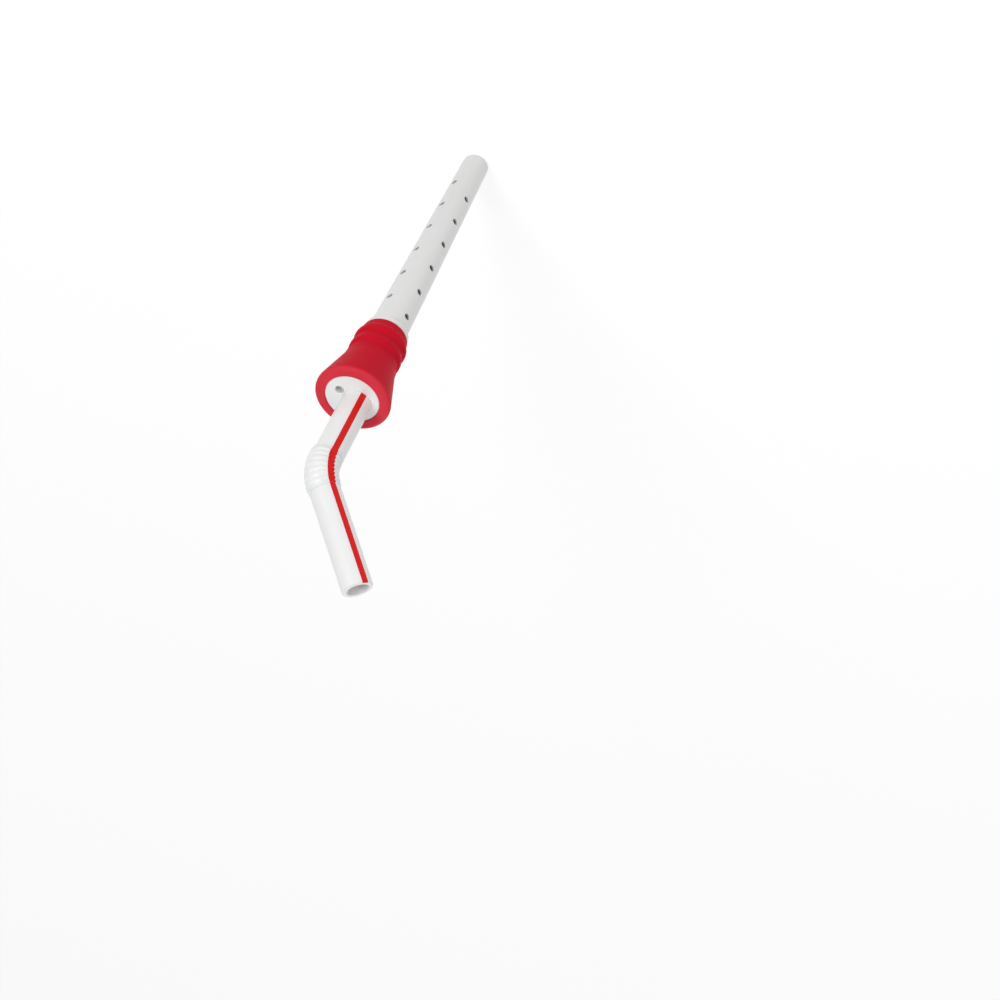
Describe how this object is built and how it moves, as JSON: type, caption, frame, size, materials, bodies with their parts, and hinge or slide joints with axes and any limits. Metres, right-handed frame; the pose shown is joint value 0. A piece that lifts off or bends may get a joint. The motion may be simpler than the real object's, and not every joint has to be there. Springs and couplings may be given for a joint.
{
  "type": "wine aerator pourer",
  "caption": "Flared soft bottle stopper with a bendy straw spout on its disc, an air vent and a long perforated aeration tube below the plug.",
  "frame": {"origin": "on the stopper's axis, level with the rim of the bottle's mouth", "axes": "+Z along the stopper's axis out of the bottle, +X towards the side that the straw bends to"},
  "size_m": [0.0477, 0.0268, 0.2129],
  "materials": {
    "stopper_silicone": "satin",
    "white_moulding": "semi-gloss",
    "air_tube_plastic": "gloss",
    "straw_plastic": "semi-gloss",
    "bellows_plastic": "satin",
    "stripe_plastic": "semi-gloss",
    "seal_silicone": "satin"
  },
  "bodies": {
    "stopper_body": {"stopper": "stopper_silicone", "spout_core": "white_moulding", "air_tube": "air_tube_plastic", "aeration_tube": "white_moulding", "aeration_tube_cap": "white_moulding"},
    "straw": {"straw_root": "straw_plastic", "straw_seal": "seal_silicone", "root_stripe_left": "stripe_plastic", "root_stripe_right": "stripe_plastic"},
    "elbow": {"straw_bellows": "bellows_plastic", "bellows_stripe_left": "stripe_plastic", "bellows_stripe_right": "stripe_plastic"},
    "outlet": {"straw_outlet": "straw_plastic", "outlet_stripe_left": "stripe_plastic", "outlet_stripe_right": "stripe_plastic"}
  },
  "joints": [
    {"name": "straw_swivel", "type": "hinge", "parent": "stopper_body", "child": "straw", "pos_m": [0.0019, 0, 0.017], "axis": [0, 0, 1], "continuous": true},
    {"name": "straw_bend", "type": "hinge", "parent": "straw", "child": "elbow", "pos_m": [0.0019, 0, 0.05073], "axis": [0, 1, 0], "range_deg": [-20.75, 14.25], "deforming": ["straw_bellows", "bellows_stripe_left", "bellows_stripe_right"]},
    {"name": "outlet_bend", "type": "hinge", "parent": "elbow", "child": "outlet", "pos_m": [0.00377, 0, 0.05566], "axis": [0, 1, 0], "range_deg": [-20.75, 14.25]}
  ],
  "couplings": [
    {"joint": "outlet_bend", "follows": "straw_bend", "ratio": 1}
  ]
}
